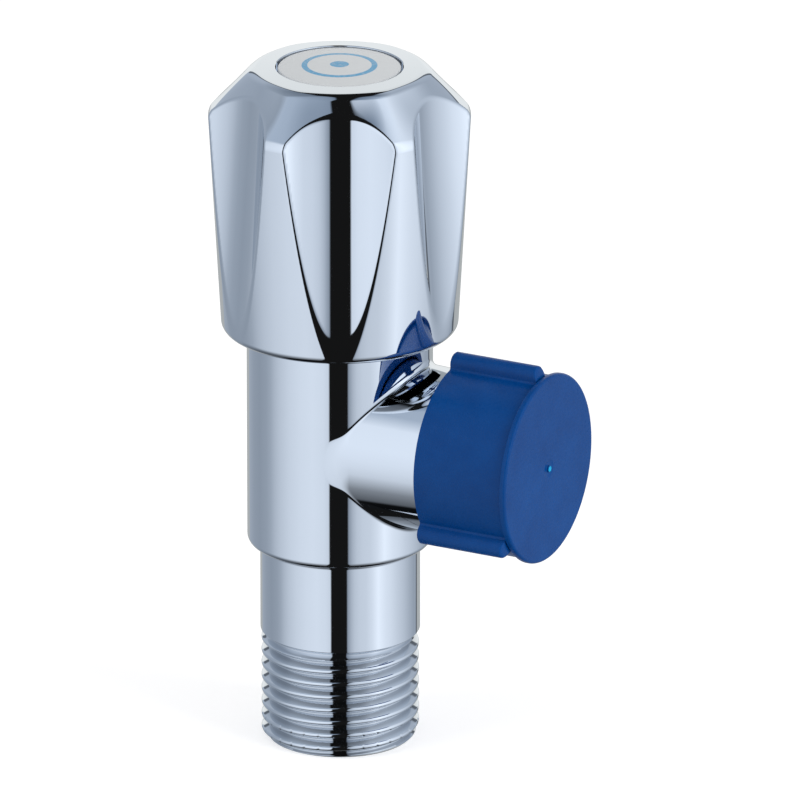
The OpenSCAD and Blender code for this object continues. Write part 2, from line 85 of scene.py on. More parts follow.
# Valve body
BORE_R = MOUNTS["inlet_bore"]["dims"]["r_mm"]
NIPPLE_R = 10.6
BARREL_R = 12.3
BARREL_Z = 27.4
BARREL_TOP = BODY_HIGH[2]
THREAD_TOP = 15.2
BARREL_EDGE = 1.0
BARREL_TOP_EDGE = 0.3
BARREL_TOP_BAND = 0.4
NIPPLE_FILLET = 0.6
OUTLET_Z = MOUNTS["outlet_thread"]["pos_m"][2] / MM
OUTLET_LIFT = np.array([0, 0, OUTLET_Z])
OUTLET_END = BODY_HIGH[0]
BOSS_R = 10.7
BOSS_ROOT_R = 11.4
BOSS_REACH = 18.3
BOSS_EDGE = 0.3
BOSS_END = BOSS_REACH - BOSS_EDGE
BOSS_DRAFT = math.atan((BOSS_ROOT_R - BOSS_R) / BOSS_REACH)
# The rounding at the branch's root, above and below it and at its sides, and how briefly it grows there
BRANCH_FILLET = 0.8
BRANCH_SIDE_FILLET = 12.8
BRANCH_SIDE_POWER = 40
OUTLET_ROOT_R = THREAD_R - 0.1
OUTLET_BORE_R = 5.5
BORE_CHAMFER = 0.4
SEAT_Z = 33.0
CHAMBER_R = 9.2
CHAMBER_TOP_GAP = 0.4
BONNET_THREAD_Z = 48.8
BONNET_THREAD_R = 10.05
RING_SEAT_R = RING_HIGH[0] + 0.05
RING_SEAT_Z = RING_LOW[2] - 0.05
RING_SEAT_CHAMFER = 0.1

# Handwheel
WHEEL_Z = WHEEL_LOW[2]
WHEEL_TOP = WHEEL_HIGH[2]
SKIRT_R = 15.6
SKIRT_EDGE = 1.15
SHOULDER_R = 17.3
SHOULDER_Z = WHEEL_TOP - 6.4
SHOULDER_EDGE = 0.6
SLOPE_BOW_R = 25.0
CROWN_R = 11.5
CROWN_Z = WHEEL_TOP - 0.55
CROWN_LOBE_R = 11.7
CROWN_EDGE = 0.6
RECESS_R = 8.4
RECESS_TOP = WHEEL_TOP - 0.35
RECESS_Z = WHEEL_TOP - 2.5
RECESS_EDGE = 0.15
RECESS_LIP = 0.2
RECESS_BAND = 0.5
FLUTES = 6
FLUTE_R = 14.0
FLUTE_TOP = 13.5
FLUTE_FOOT = 15.75
FLUTE_TURN = math.radians(-2.4)
FLUTE_EDGE = 0.26
HOLLOW_R = 13.1
HOLLOW_TOP_R = 11.9
HOLLOW_TOP = 87.9
HOLLOW_EDGE = 0.8
HOLLOW_CHAMFER = 0.2
HUB_R = 7.8
HUB_Z = 74.0
WEB_Z = 81.4
WEB_TOP = 84.9
SCREW_HOLE_R = 2.1
SOCKET_FLAT = 5.45
SOCKET_SIDES = 6
COUNTERBORE_R = 4.4
# The handwheel's outside is found along rays. They fan out from one place at its foot, run level
# from an upright line up its side, and fan out from one place below its crown.
FOOT_RAY_R = 13.6
FOOT_RAY_Z = WHEEL_Z + 2.0
TOP_RAY_R = 7.0
TOP_RAY_Z = 85.0
RAY_LENGTH = 16.0
RAY_HALVINGS = 40
FOOT_ROWS = 18
SIDE_ROWS = 110
TOP_ROWS = 120

# Outlet cap
CAP_MOUTH = CAP_LOW[0]
CAP_GATE_H = 0.2
CAP_FACE = CAP_HIGH[0] - CAP_GATE_H
CAP_R = 12.2
CAP_END_R = 12.7
CAP_LIP_H = 0.9
CAP_LIP_Z = CAP_FACE - CAP_LIP_H
CAP_LIP_GAP = 0.1
CAP_LIP_ROOT = 0.09
CAP_LIP_EDGE = 0.18
CAP_END_EDGE = 0.45
CAP_BORE_R = 10.95
CAP_BORE_CHAMFER = 0.2
CAP_BORE_EDGE = 0.29
CAP_BORE_BAND = 0.3
# Angles of the ribs round the outlet, from the top towards -Y
CAP_RIB_ANGLES = np.radians([2, 129, 242])
CAP_RIB_R = 14.2
CAP_RIB_W = 2.6
CAP_RIB_ROOT = 0.35
CAP_RIB_BACK = 0.1
CAP_RIB_BOW = 0.6
CAP_RIB_MOUTH_BAND = 0.25
CAP_RIB_MOUTH_SHARE = 0.9
CAP_DISH_R = 1.3
CAP_DISH_FLOOR_R = 0.9
CAP_DISH_DEPTH = 0.12
CAP_DISH_EDGE = 0.5
CAP_GATE_R = 0.45
CAP_GATE_ROOT = 0.1
CAP_GATE_EDGE = 0.15

# Index button
BUTTON_R = RECESS_R - 0.25
BUTTON_RIM_Z = RECESS_TOP - 0.15
BUTTON_DOME = 0.4
BUTTON_EDGE = 0.25
BUTTON_FOOT = 0.2
PLUG_R = COUNTERBORE_R - 0.05
PLUG_BORE_R = PLUG_R - 1
PLUG_Z = BUTTON_LOW[2]
PLUG_BORE_H = 1.9
PLUG_EDGE = 0.2

# Steps round the whole turn of a visible surface, and how many of them a hidden one takes together
STEPS = 480
WHEEL_STEPS = 600
COARSE = 4
# Steps over the rounding of an edge, and over the rounding at the branch's root
ROUND_STEPS = 8
FILLET_STEPS = 12
# Steps round the hole for the branch, half its width in steps of the barrel, and half its height
HOLE_STEPS = 640
HOLE_HALF = 102
HOLE_REACH = 13.8
# Half the width of the outlet's hole in the chamber's wall, in steps of that wall
CHAMBER_HALF = 15
# Steps over a rib's root, over half its tip, over its end, and over the wall from one rib to the next
RIB_ROOT_STEPS = 6
RIB_TIP_STEPS = 12
RIB_END_STEPS = 8
RIB_GAP_STEPS = 60
# Steps over the button's dome and over the rounding of its rim
DOME_STEPS = 24
BUTTON_EDGE_STEPS = 6


def turn(count):
    """Angles of a full turn, with the first again at the end."""
    return np.linspace(0, 2 * math.pi, count + 1)


def upright(points):
    return points


def along_outlet(points):
    """Lays what is built round +Z along +X."""
    x, y, z = np.moveaxis(points, -1, 0)
    return np.stack([z, y, -x], axis=-1)


def at_outlet(points):
    """Lays what is built round +Z along the outlet's axis."""
    return along_outlet(points) + OUTLET_LIFT


class Skin:
    """A closed surface made of faces whose corners carry their own normals."""

    def __init__(self):
        self.groups = []

    def add(self, points, normals):
        self.groups.append((np.array(points, float), np.array(normals, float)))

    def grid(self, points, normals):
        """Adds the faces between neighbouring rows and columns of a grid of points."""
        corners = [np.s_[:-1, :-1], np.s_[:-1, 1:], np.s_[1:, 1:], np.s_[1:, :-1]]
        self.add(*(np.stack([a[c] for c in corners], axis=2).reshape(-1, 4, 3)
                   for a in (points, normals)))

    def ring(self, fine, coarse, normal):
        """Adds the flat ring between a curve and another with a whole fraction of its steps."""
        ratio = (len(fine) - 1) // (len(coarse) - 1)
        for i in range(len(coarse) - 1):
            points = np.concatenate([fine[i * ratio:(i + 1) * ratio + 1], coarse[[i + 1, i]]])
            self.add(points[None], np.broadcast_to(normal, points.shape)[None])

    def mesh(self, name):
        """Joins the faces where their corners meet and returns the mesh, in metres."""
        every = np.concatenate([points.reshape(-1, 3) for points, _ in self.groups])
        keys = np.rint(every * 1e4).astype(np.int64)
        _, first, index = np.unique(keys, axis=0, return_index=True, return_inverse=True)
        index = index.reshape(-1)
        faces, corner_normals = [], []
        start = 0
        for points, normals in self.groups:
            count, size = points.shape[:2]
            ids = index[start:start + count * size].reshape(count, size)
            start += count * size
            arms = points - points[:, :1]
            across = np.cross(arms, np.roll(arms, -1, axis=1)).sum(axis=1)
            back = np.einsum("ij,ij->i", across, normals.sum(axis=1)) < 0
            ids[back] = ids[back][:, ::-1]
            normals = np.where(back[:, None, None], normals[:, ::-1], normals)
            for face, own in zip(ids.tolist(), normals.tolist()):
                keep = [k for k in range(size) if face[k] != face[k - 1]]
                if len(keep) > 2:
                    faces.append([face[k] for k in keep])
                    corner_normals.extend(own[k] for k in keep)
        mesh = bpy.data.meshes.new(name)
        mesh.from_pydata((every[first] * MM).tolist(), [], faces)
        mesh.shade_smooth()
        mesh.normals_split_custom_set(corner_normals)
        return mesh


def unit(vectors):
    return vectors / np.linalg.norm(vectors, axis=-1, keepdims=True)


def right_of(way):
    return np.array([way[1], -way[0]])


def runs(corners):
    """Smooth stretches of an outline, each as points with normals.

    A corner is (r, z) or (r, z, rounding). The material lies on the left of the way along them.
    """
    points = [np.array(corner[:2], float) for corner in corners]
    radii = [corner[2] if len(corner) > 2 else 0 for corner in corners]
    found = []
    line = [points[0]]
    normals = [right_of(unit(points[1] - points[0]))]
    for i in range(1, len(points) - 1):
        way_in, way_out = unit(points[i] - points[i - 1]), unit(points[i + 1] - points[i])
        bend = math.atan2(way_in[0] * way_out[1] - way_in[1] * way_out[0], way_in @ way_out)
        if radii[i]:
            side = math.copysign(1, bend)
            begin = points[i] - way_in * radii[i] * math.tan(abs(bend) / 2)
            centre = begin - side * radii[i] * right_of(way_in)
            for step in range(ROUND_STEPS + 1):
                angle = bend * step / ROUND_STEPS
                way = np.array([way_in[0] * math.cos(angle) - way_in[1] * math.sin(angle),
                                way_in[0] * math.sin(angle) + way_in[1] * math.cos(angle)])
                normal = right_of(way)
                line.append(centre + side * radii[i] * normal)
                normals.append(normal)
        else:
            line.append(points[i])
            normals.append(right_of(way_in))
            found.append((np.array(line), np.array(normals)))
            line, normals = [points[i]], [right_of(way_out)]
    line.append(points[-1])
    normals.append(right_of(unit(points[-1] - points[-2])))
    found.append((np.array(line), np.array(normals)))
    return found


def spin(flat, angles):
    """Turns rows of (r, z) about the axis, to a grid of points."""
    r, z = flat[:, None, 0], flat[:, None, 1]
    return np.stack([r * np.cos(angles), r * np.sin(angles), z + 0 * angles], axis=-1)


def turned(skin, corners, angles, place=upright):
    """Adds the surface that an outline sweeps about its axis."""
    for line, normals in runs(corners):
        skin.grid(place(spin(line, angles)), place(spin(normals, angles)))


def circle(r, z, angles, place=upright):
    return place(spin(np.array([[r, z]]), angles)[0])


def thread_form(v):
    """Depth of a thread below its crests at v along the axis from a crest, and how fast it grows."""
    v = (v + PITCH / 2) % PITCH - PITCH / 2
    away, sign = np.abs(v), np.sign(v)
    from_crest = np.minimum(away, CREST_END)
    from_root = PITCH / 2 - np.maximum(away, ROOT_START)
    crest_drop = np.sqrt(THREAD_CREST_ROUND ** 2 - from_crest ** 2)
    root_drop = np.sqrt(THREAD_ROOT_ROUND ** 2 - from_root ** 2)
    flank = (np.clip(away, CREST_END, ROOT_START) - CREST_END) / math.tan(FLANK)
    depth = THREAD_CREST_ROUND - crest_drop + flank + root_drop - THREAD_ROOT_ROUND * math.sin(FLANK)
    slope = np.where(away < CREST_END, from_crest / crest_drop,
                     np.where(away > ROOT_START, from_root / root_drop, 1 / math.tan(FLANK)))
    return depth, slope * sign


def thread_steps():
    """Places along one pitch, close together where the thread is rounded."""
    half = np.concatenate([
        THREAD_CREST_ROUND * np.sin(np.linspace(0, math.pi / 2 - FLANK, 6)),
        np.linspace(CREST_END, ROOT_START, 4)[1:],
        PITCH / 2 - THREAD_ROOT_ROUND * np.sin(np.linspace(math.pi / 2 - FLANK, 0, 4))[1:],
    ])
    return np.concatenate([half, PITCH - half[-2:0:-1]])


def threaded(skin, angles, free, root, root_r, place=upright, nicks=False):
    """Adds a thread from its free end to its root, and returns its outline at the free end."""
    low, high = min(free, root), max(free, root)
    turns = range(math.floor(low / PITCH) - 2, math.ceil(high / PITCH) + 1)
    rows = np.concatenate([n * PITCH + thread_steps() for n in turns])
    z = np.clip(rows[:, None] + PITCH * angles / (2 * math.pi), low, high)
    v = z - PITCH * angles / (2 * math.pi)
    depth, slope = thread_form(v)
    if nicks:
        step = 2 * math.pi / NICKS
        off = np.abs((angles + step / 2) % step - step / 2) * THREAD_R
        cut = NICK_DEPTH * np.clip(1 - off / NICK_HALF_W, 0, 1) * (z < NICK_TOP)
        depth = np.maximum(depth, cut)
    r, dr = THREAD_R - depth, -slope
    to_free = np.abs(z - free)
    outward = 1 if root > free else -1
    chamfer = THREAD_R - THREAD_CHAMFER + to_free
    r, dr = np.where(chamfer < r, chamfer, r), np.where(chamfer < r, outward, dr)
    from_mid = (np.abs(z - root) - RUNOUT_W / 2) / (RUNOUT_W / 2)
    wave = math.pi * np.clip(from_mid, -1, 1)
    groove = root_r - RUNOUT_DEPTH * (1 + np.cos(wave)) / 2
    groove_slope = RUNOUT_DEPTH * np.sin(wave) * math.pi / RUNOUT_W * -outward
    in_groove = (from_mid < 0) | ((from_mid < 1) & (groove < r))
    r, dr = np.where(in_groove, groove, r), np.where(in_groove, groove_slope, dr)
    along = np.cos(angles), np.sin(angles)
    swirl = np.where(in_groove | (chamfer <= r), 0, dr * PITCH / (2 * math.pi * r))
    points = np.stack([r * along[0], r * along[1], z], axis=-1)
    normals = unit(np.stack([along[0] - swirl * along[1], along[1] + swirl * along[0], -dr], axis=-1))
    skin.grid(place(points), place(normals))
    return place(points[0] if free < root else points[-1])


def rim(columns, rows):
    """Places round a square from -1 to 1, from its low corner, with the first again at the end."""
    across, up = np.linspace(-1, 1, columns + 1), np.linspace(-1, 1, rows + 1)
    sides = [np.stack([across, 0 * across - 1], -1)[:-1], np.stack([0 * up + 1, up], -1)[:-1],
             np.stack([-across, 0 * across + 1], -1)[:-1], np.stack([0 * up - 1, -up], -1)]
    return np.concatenate(sides)


def pierced(skin, r, z0, z1, half, steps, hole, inward=False):
    """Adds a cylinder from z0 to z1 whose wall has a hole on the outlet's side.

    half is half the width of the stretch with the hole, in steps. hole(angles) gives the rim of the
    hole as (angle, z). Returns the angles about the outlet at which the rim is taken.
    """
    step = 2 * math.pi / steps
    rows = HOLE_STEPS * steps // STEPS // 2 - 2 * half
    side = -1 if inward else 1
    square = rim(2 * half, rows)
    about = np.unwrap(np.arctan2(square[:, 0], -square[:, 1]))
    outer = np.stack([square[:, 0] * half * step, (z0 + z1) / 2 + square[:, 1] * (z1 - z0) / 2], -1)
    inner = hole(about)
    flat = inner[None] + np.linspace(0, 1, FILLET_STEPS + 1)[:, None, None] * (outer - inner)[None]
    ways = np.stack([np.cos(flat[..., 0]), np.sin(flat[..., 0]), 0 * flat[..., 1]], -1)
    skin.grid(ways * r + flat[..., 1:] * [0, 0, 1], ways * side)
    rest = np.arange(half, steps - half + 1) * step
    line = np.stack([np.full(rows + 1, r), np.linspace(z0, z1, rows + 1)], -1)
    normals = np.stack([np.full(rows + 1, side), np.zeros(rows + 1)], -1)
    skin.grid(spin(line, rest), spin(normals, rest))
    return about


def boss_radius(x):
    return BOSS_ROOT_R - x * math.tan(BOSS_DRAFT)


def branch_ball(about):
    """Centres and radii of a ball that rolls in the corner between the barrel and the branch."""
    radius = BRANCH_FILLET + (BRANCH_SIDE_FILLET - BRANCH_FILLET) * np.sin(about) ** BRANCH_SIDE_POWER
    x = np.full_like(about, BARREL_R)
    for _ in range(20):
        reach = boss_radius(x - radius * math.sin(BOSS_DRAFT)) + radius * math.cos(BOSS_DRAFT)
        y, up = reach * np.sin(about), -reach * np.cos(about)
        x = np.sqrt((BARREL_R + radius) ** 2 - y ** 2)
    return np.stack([x, y, up], -1), radius[:, None]


def fillet_rim(about):
    x, y, up = branch_ball(about)[0].T
    return np.stack([np.arctan2(y, x), OUTLET_Z + up], -1)


def bore_rim(about):
    y, up = OUTLET_BORE_R * np.sin(about), -OUTLET_BORE_R * np.cos(about)
    return np.stack([np.arcsin(y / CHAMBER_R), OUTLET_Z + up], -1)


def between(start, end, steps):
    """Rows of points from one curve to another."""
    part = np.linspace(0, 1, steps + 1)[:, None, None]
    return start[None] * (1 - part) + end[None] * part


def add_barrel(skin, angles, coarse):
    """Adds the outside of the nipple and the barrel.

    Returns the inlet's free end, and the angles about the outlet at which the branch's rim is taken.
    """
    tip = threaded(skin, angles, 0, THREAD_TOP, NIPPLE_R, nicks=True)
    hole_low, hole_high = OUTLET_Z - HOLE_REACH, OUTLET_Z + HOLE_REACH
    turned(skin, [(NIPPLE_R, THREAD_TOP), (NIPPLE_R, BARREL_Z, NIPPLE_FILLET),
                  (BARREL_R, BARREL_Z, BARREL_EDGE), (BARREL_R, hole_low)], angles)
    about = pierced(skin, BARREL_R, hole_low, hole_high, HOLE_HALF, STEPS, fillet_rim)
    turned(skin, [(BARREL_R, hole_high), (BARREL_R, BARREL_TOP, BARREL_TOP_EDGE),
                  (BARREL_R - BARREL_TOP_BAND, BARREL_TOP)], angles)
    skin.ring(circle(BARREL_R - BARREL_TOP_BAND, BARREL_TOP, angles),
              circle(RING_SEAT_R + RING_SEAT_CHAMFER, BARREL_TOP, coarse), [0, 0, 1])
    return tip, about


def add_branch(skin, about):
    """Adds the outside of the branch, from its rounded root to the face at its end."""
    centre, radius = branch_ball(about)
    to_barrel = -centre * [1, 1, 0] / (BARREL_R + radius)
    to_branch = -np.stack([math.sin(BOSS_DRAFT) + 0 * about, math.cos(BOSS_DRAFT) * np.sin(about),
                           -math.cos(BOSS_DRAFT) * np.cos(about)], -1)
    opening = np.arccos(np.clip(np.sum(to_barrel * to_branch, -1), -1, 1))[:, None]
    part = np.linspace(0, 1, FILLET_STEPS + 1)[:, None, None]
    ways = (np.sin((1 - part) * opening) * to_barrel + np.sin(part * opening) * to_branch) / np.sin(opening)
    skin.grid(OUTLET_LIFT + centre + radius * ways, -ways)
    root = OUTLET_LIFT + centre + radius * to_branch
    rows = between(root, circle(boss_radius(BOSS_END), BOSS_END, about, at_outlet), 4)
    skin.grid(rows, np.broadcast_to(-to_branch, rows.shape))

    outlet = Skin()
    turned(outlet, [(boss_radius(BOSS_END), BOSS_END), (BOSS_R, BOSS_REACH, BOSS_EDGE * 0.9),
                    (OUTLET_ROOT_R, BOSS_REACH)], about, along_outlet)
    tip = threaded(outlet, about, OUTLET_END, BOSS_REACH, OUTLET_ROOT_R, along_outlet)
    coarse = about[::COARSE]
    rim_r = OUTLET_BORE_R + BORE_CHAMFER
    outlet.ring(tip, circle(rim_r, OUTLET_END, coarse, along_outlet), [1, 0, 0])
    turned(outlet, [(rim_r, OUTLET_END), (OUTLET_BORE_R, OUTLET_END - BORE_CHAMFER)], coarse, along_outlet)
    for points, normals in outlet.groups:
        skin.add(points + OUTLET_LIFT, normals)


def add_bores(skin, coarse, tip):
    """Adds the chamber with the outlet's bore, the bonnet's seats above it and the inlet's bore below."""
    chamber_high = BONNET_THREAD_Z - CHAMBER_TOP_GAP
    chamber_low = 2 * OUTLET_Z - chamber_high
    about = pierced(skin, CHAMBER_R, chamber_low, chamber_high, CHAMBER_HALF, STEPS // COARSE, bore_rim,
                    inward=True)
    across = np.stack([0 * about, np.sin(about), -np.cos(about)], -1)
    mouth = np.sqrt(CHAMBER_R ** 2 - (OUTLET_BORE_R * np.sin(about)) ** 2)[:, None] * [1, 0, 0]
    end = (OUTLET_END - BORE_CHAMFER) * np.array([1, 0, 0])
    rows = between(OUTLET_LIFT + mouth + OUTLET_BORE_R * across,
                   OUTLET_LIFT + end + OUTLET_BORE_R * across, 2)
    skin.grid(rows, np.broadcast_to(-across, rows.shape))
    turned(skin, [(RING_SEAT_R + RING_SEAT_CHAMFER, BARREL_TOP),
                  (RING_SEAT_R, BARREL_TOP - RING_SEAT_CHAMFER), (RING_SEAT_R, RING_SEAT_Z),
                  (BONNET_THREAD_R, RING_SEAT_Z), (BONNET_THREAD_R, BONNET_THREAD_Z),
                  (CHAMBER_R, BONNET_THREAD_Z), (CHAMBER_R, chamber_high)], coarse)
    turned(skin, [(CHAMBER_R, chamber_low), (CHAMBER_R, SEAT_Z), (BORE_R, SEAT_Z), (BORE_R, BORE_CHAMFER),
                  (BORE_R + BORE_CHAMFER, 0)], coarse)
    skin.ring(tip, circle(BORE_R + BORE_CHAMFER, 0, coarse), [0, 0, -1])


def make_valve_body():
    skin = Skin()
    angles, coarse = turn(STEPS), turn(STEPS // COARSE)
    tip, about = add_barrel(skin, angles, coarse)
    add_branch(skin, about)
    add_bores(skin, coarse, tip)
    return skin.mesh("valve_body_skin")


def round_max(a, b, radius):
    """The larger of two distances, with the edge between their surfaces rounded."""
    return (np.minimum(np.maximum(a, b), -radius)
            + np.hypot(np.maximum(a + radius, 0), np.maximum(b + radius, 0)))


def plane(a, b, r, z):
    """Distance outside the line from a to b, with the material on its left."""
    way = unit(np.array(b, float) - np.array(a, float))
    return way[1] * (r - a[0]) - way[0] * (z - a[1])


def hollow(a, b, bow_r, r, z):
    """Distance outside the hollow arc from a to b, with the material on its left."""
    way = np.array(b, float) - np.array(a, float)
    deep = math.sqrt(bow_r ** 2 - way @ way / 4)
    centre = np.array(a) + way / 2 + deep * unit(right_of(way))
    return bow_r - np.hypot(r - centre[0], z - centre[1])


def wheel_distance(points):
    """How far points lie outside the handwheel's fluted outside."""
    x, y, z = np.moveaxis(points, -1, 0)
    r = np.hypot(x, y)
    shoulder, crown = (SHOULDER_R, SHOULDER_Z), (CROWN_R, CROWN_Z)
    side = plane((SKIRT_R, WHEEL_Z), shoulder, r, z)
    on_lobe = ((1 - np.cos(FLUTES * (np.arctan2(y, x) - FLUTE_TURN))) / 2) ** 2
    slope = ((1 - on_lobe) * hollow(shoulder, crown, SLOPE_BOW_R, r, z)
             + on_lobe * plane(shoulder, (CROWN_LOBE_R, CROWN_Z), r, z))
    distance = round_max(side, slope, SHOULDER_EDGE)
    lean = math.atan((FLUTE_FOOT - FLUTE_TOP) / (SHOULDER_Z - WHEEL_Z))
    for i in range(FLUTES):
        angle = FLUTE_TURN + i * 2 * math.pi / FLUTES
        out = x * math.cos(angle) + y * math.sin(angle) - FLUTE_FOOT - FLUTE_R / math.cos(lean)
        leaning = out * math.cos(lean) + (z - WHEEL_Z) * math.sin(lean)
        sideways = y * math.cos(angle) - x * math.sin(angle)
        distance = round_max(distance, FLUTE_R - np.hypot(leaning, sideways), FLUTE_EDGE)
    distance = round_max(distance, plane(crown, (RECESS_R, RECESS_TOP), r, z), CROWN_EDGE)
    return round_max(distance, WHEEL_Z - z, SKIRT_EDGE)


def slope_of(distance, points, step=1e-3):
    """Direction in which a distance grows fastest."""
    moves = step * np.eye(3)
    return unit(np.stack([distance(points + move) - distance(points - move) for move in moves], -1))


def wheel_rays():
    """Where the rays to the handwheel's outside start, and their ways, up its profile as (r, z).

    Also returns the place in the recess's lip where the last one ends.
    """
    end = np.array([RECESS_R + RECESS_LIP,
                    RECESS_TOP - RECESS_LIP * (RECESS_TOP - CROWN_Z) / (CROWN_R - RECESS_R)])
    last = math.atan2(end[1] - TOP_RAY_Z, end[0] - TOP_RAY_R)
    low, high = np.linspace(-math.pi / 2, 0, FOOT_ROWS), np.linspace(0, last, TOP_ROWS)
    heights = np.linspace(FOOT_RAY_Z, TOP_RAY_Z, SIDE_ROWS)
    start = np.concatenate([np.tile([FOOT_RAY_R, FOOT_RAY_Z], (len(low), 1)),
                            np.stack([0 * heights + TOP_RAY_R, heights], -1)[1:-1],
                            np.tile([TOP_RAY_R, TOP_RAY_Z], (len(high), 1))])
    tilt = np.concatenate([low, 0 * heights[1:-1], high])
    return start, np.stack([np.cos(tilt), np.sin(tilt)], -1), end


def add_wheel_outside(skin, angles):
    """Adds the fluted outside. Returns its foot, and the place in the recess's lip where it ends."""
    start, way, end = wheel_rays()
    starts, ways = spin(start, angles), spin(way, angles)
    near, far = np.zeros(starts.shape[:2]), np.full(starts.shape[:2], RAY_LENGTH)
    for _ in range(RAY_HALVINGS):
        middle = (near + far) / 2
        inside = wheel_distance(starts + middle[..., None] * ways) < 0
        near, far = np.where(inside, middle, near), np.where(inside, far, middle)
    points = starts + near[..., None] * ways
    points[:, -1] = points[:, 0]
    points[0] = circle(FOOT_RAY_R, WHEEL_Z, angles)
    points[-1] = circle(*end, angles)
    normals = slope_of(wheel_distance, points)
    normals[:, -1] = normals[:, 0]
    skin.grid(points, normals)
    return points[0], end


def add_socket(skin, coarse):
    """Adds the six-sided socket of the hub, from the screw's hole to the hub's foot."""
    down = [0, 0, -1.0]
    per_side = WHEEL_STEPS // COARSE // SOCKET_SIDES
    for i in range(SOCKET_SIDES):
        part = coarse[i * per_side:(i + 1) * per_side + 1]
        middle = (part[0] + part[-1]) / 2
        flat = np.array([math.cos(middle), math.sin(middle), 0])
        reach = SOCKET_FLAT / np.cos(part - middle)
        edge = np.stack([reach * np.cos(part), reach * np.sin(part), 0 * part], -1)
        hole, foot = circle(SCREW_HOLE_R, WEB_Z, part), circle(HUB_R, HUB_Z, part)
        rim_low, rim_high = edge + [0, 0, HUB_Z], edge + [0, 0, WEB_Z]
        skin.grid(np.stack([hole, rim_high]), np.tile(down, (2, len(part), 1)))
        skin.grid(np.stack([rim_high, rim_low]), np.tile(-flat, (2, len(part), 1)))
        skin.grid(np.stack([rim_low, foot]), np.tile(down, (2, len(part), 1)))


def make_handwheel():
    skin = Skin()
    angles, coarse = turn(WHEEL_STEPS), turn(WHEEL_STEPS // COARSE)
    foot, lip = add_wheel_outside(skin, angles)
    skin.ring(foot, circle(HOLLOW_R + HOLLOW_CHAMFER, WHEEL_Z, coarse), [0, 0, -1])
    band_z = RECESS_TOP - RECESS_BAND
    turned(skin, [tuple(lip), (RECESS_R, RECESS_TOP, RECESS_EDGE), (RECESS_R, band_z)], angles)
    turned(skin, [(RECESS_R, band_z), (RECESS_R, RECESS_Z)], angles)
    skin.ring(circle(RECESS_R, RECESS_Z, angles), circle(COUNTERBORE_R, RECESS_Z, coarse), [0, 0, 1])
    turned(skin, [(COUNTERBORE_R, RECESS_Z), (COUNTERBORE_R, WEB_TOP), (SCREW_HOLE_R, WEB_TOP),
                  (SCREW_HOLE_R, WEB_Z)], coarse)
    add_socket(skin, coarse)
    turned(skin, [(HUB_R, HUB_Z), (HUB_R, HOLLOW_TOP, HOLLOW_EDGE), (HOLLOW_TOP_R, HOLLOW_TOP, HOLLOW_EDGE),
                  (HOLLOW_R, WHEEL_Z + HOLLOW_CHAMFER), (HOLLOW_R + HOLLOW_CHAMFER, WHEEL_Z)], coarse)
    return skin.mesh("handwheel_skin")


def one_rib(lean):
    """Outline of a rib that points along the first axis, from its foot on one side to the other's.

    lean is how far round its foot lies on the cap's wall.
    """
    half = CAP_RIB_W / 2
    tip = CAP_RIB_R - half
    foot_r = CAP_R + CAP_RIB_ROOT
    foot = np.array([foot_r * math.cos(lean), foot_r * math.sin(lean)])
    side = []
    for angle in np.linspace(lean + math.pi, 1.5 * math.pi, RIB_ROOT_STEPS + 1):
        side.append(foot + CAP_RIB_ROOT * np.array([math.cos(angle), math.sin(angle)]))
    for angle in np.linspace(math.pi / 2, 0, RIB_TIP_STEPS + 1):
        side.append(np.array([tip + half * math.cos(angle), half * math.sin(angle)]))
    return (side + [point * [1, -1] for point in side[-2::-1]])[::-1]


def rib_outline():
    """Outline of the cap's side across its axis, as points and the angles of the round wall beneath."""
    points, under = [], []
    lean = math.asin((CAP_RIB_W / 2 + CAP_RIB_ROOT) / (CAP_R + CAP_RIB_ROOT))
    turns = math.pi + CAP_RIB_ANGLES
    for middle, following in zip(turns, [*turns[1:], turns[0] + 2 * math.pi]):
        cos, sin = math.cos(middle), math.sin(middle)
        for x, y in one_rib(lean):
            points.append([x * cos - y * sin, x * sin + y * cos])
            under.append(middle + math.asin(max(-1, min(1, y / CAP_R))))
        gap = following - middle - 2 * lean
        for angle in np.linspace(0, gap, RIB_GAP_STEPS + 1)[1:-1]:
            points.append([CAP_R * math.cos(middle + lean + angle), CAP_R * math.sin(middle + lean + angle)])
            under.append(middle + lean + angle)
    points.append(points[0])
    under.append(under[0] + 2 * math.pi)
    return np.array(points), np.array(under)


def add_cap_side(skin):
    """Adds the cap's ribbed side and its mouth. Returns the angles at which its wall is taken."""
    ribbed, angles = rib_outline()
    plain = CAP_R * np.stack([np.cos(angles), np.sin(angles)], -1)
    rib_end = CAP_LIP_Z - CAP_RIB_BACK
    bow = np.linspace(0, math.pi / 2, RIB_END_STEPS + 1)
    heights = np.concatenate([[CAP_MOUTH, CAP_MOUTH + CAP_RIB_MOUTH_BAND],
                              rib_end - CAP_RIB_BOW + CAP_RIB_BOW * np.sin(bow), [CAP_LIP_Z - CAP_LIP_GAP]])
    share = np.concatenate([[CAP_RIB_MOUTH_SHARE, 1], np.cos(bow), [0]])
    flat = plain[None] + share[:, None, None] * (ribbed - plain)[None]
    points = np.concatenate([flat, np.broadcast_to(heights[:, None, None], flat.shape[:2] + (1,))], -1)
    along = np.gradient(points, axis=0)
    ring = np.concatenate([points[:, -2:-1], points, points[:, 1:2]], axis=1)
    around = ring[:, 2:] - ring[:, :-2]
    normals = np.cross(around, along)
    length = np.linalg.norm(normals, axis=-1, keepdims=True)
    radial = np.stack([np.cos(angles), np.sin(angles), 0 * angles], -1)
    normals = np.where(length > 1e-9, normals / np.maximum(length, 1e-9), radial)
    skin.grid(at_outlet(points), along_outlet(normals))
    mouth = circle(CAP_BORE_R + CAP_BORE_CHAMFER, CAP_MOUTH, angles, at_outlet)
    skin.grid(np.stack([at_outlet(points[0]), mouth]), np.tile([-1.0, 0, 0], (2, len(angles), 1)))
    return angles


